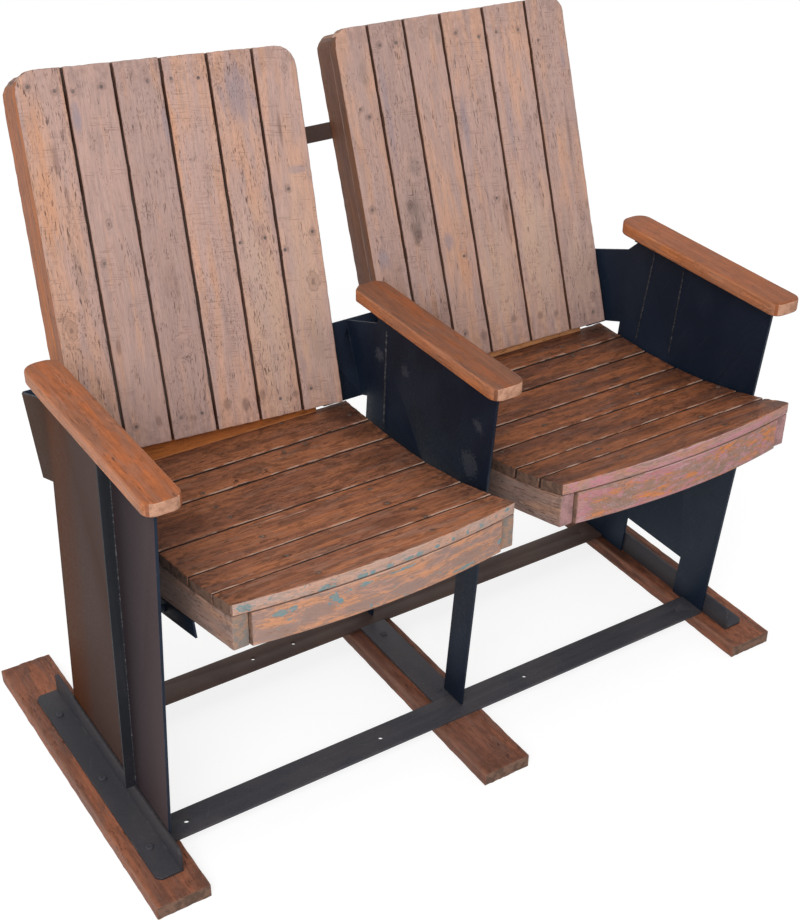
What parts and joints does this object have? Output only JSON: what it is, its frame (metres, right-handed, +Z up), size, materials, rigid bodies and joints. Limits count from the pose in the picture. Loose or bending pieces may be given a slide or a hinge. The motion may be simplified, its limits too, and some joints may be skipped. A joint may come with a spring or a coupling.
{
  "type": "cinema bench",
  "caption": "Teak cinema bench with slatted tip-up seats, reclined slatted backs, wooden armrests and black steel side panels on wooden skids.",
  "frame": {"origin": "on the ground under the middle of the whole bench's box", "axes": "+X along the bench to the right as seen from the front, +Y from front to back, +Z up"},
  "size_m": [1.078, 0.6664, 0.9318],
  "materials": {
    "teak_back": "weathered, open-grained, worn",
    "teak_seat": "dark, oiled, worn, dusty joints",
    "teak_arm": "smooth, oiled",
    "teak_skid": "rough, worn edges",
    "apron_turquoise": "worn turquoise paint remains",
    "apron_pink": "worn pink paint remains",
    "black_steel": "worn satin black"
  },
  "bodies": {
    "root": {"left_skid": "teak_skid", "centre_skid": "teak_skid", "right_skid": "teak_skid", "left_foot_iron": "black_steel", "right_foot_iron": "black_steel", "centre_foot_flat": "black_steel", "front_floor_rail": "black_steel", "rear_floor_rail": "black_steel", "left_side_panel": "black_steel", "centre_side_panel": "black_steel", "right_side_panel": "black_steel", "left_armrest": "teak_arm", "centre_armrest": "teak_arm", "right_armrest": "teak_arm", "back_tie_bar": "black_steel", "seat_pivot_rod": "black_steel", "seat_stop_bar": "black_steel", "left_back_slat_1": "teak_back", "left_back_slat_2": "teak_back", "left_back_slat_3": "teak_back", "left_back_slat_4": "teak_back", "left_back_slat_5": "teak_back", "left_back_slat_6": "teak_back", "left_back_stile_left": "teak_back", "left_back_stile_right": "teak_back", "left_back_top_rail": "teak_back", "left_back_bottom_rail": "teak_back", "right_back_slat_1": "teak_back", "right_back_slat_2": "teak_back", "right_back_slat_3": "teak_back", "right_back_slat_4": "teak_back", "right_back_slat_5": "teak_back", "right_back_slat_6": "teak_back", "right_back_stile_left": "teak_back", "right_back_stile_right": "teak_back", "right_back_top_rail": "teak_back", "right_back_bottom_rail": "teak_back"},
    "seat_left": {"left_seat_slat_1": "teak_seat", "left_seat_slat_2": "teak_seat", "left_seat_slat_3": "teak_seat", "left_seat_slat_4": "teak_seat", "left_seat_slat_5": "teak_seat", "left_seat_slat_6": "teak_seat", "left_seat_rail_left": "teak_seat", "left_seat_rail_right": "teak_seat", "left_seat_apron": "apron_turquoise", "left_hinge_iron_left": "black_steel", "left_hinge_iron_right": "black_steel"},
    "seat_right": {"right_seat_slat_1": "teak_seat", "right_seat_slat_2": "teak_seat", "right_seat_slat_3": "teak_seat", "right_seat_slat_4": "teak_seat", "right_seat_slat_5": "teak_seat", "right_seat_slat_6": "teak_seat", "right_seat_slat_7": "teak_seat", "right_seat_rail_left": "teak_seat", "right_seat_rail_right": "teak_seat", "right_seat_apron": "apron_pink", "right_hinge_iron_left": "black_steel", "right_hinge_iron_right": "black_steel"}
  },
  "joints": [
    {"name": "seat_left_tilt", "type": "hinge", "parent": "root", "child": "seat_left", "pos_m": [-0.21315, -0.10322, 0.34023], "axis": [-1, 0, 0], "range_deg": [0, 75]},
    {"name": "seat_right_tilt", "type": "hinge", "parent": "root", "child": "seat_right", "pos_m": [0.27005, -0.10322, 0.34023], "axis": [-1, 0, 0], "range_deg": [0, 75]}
  ]
}
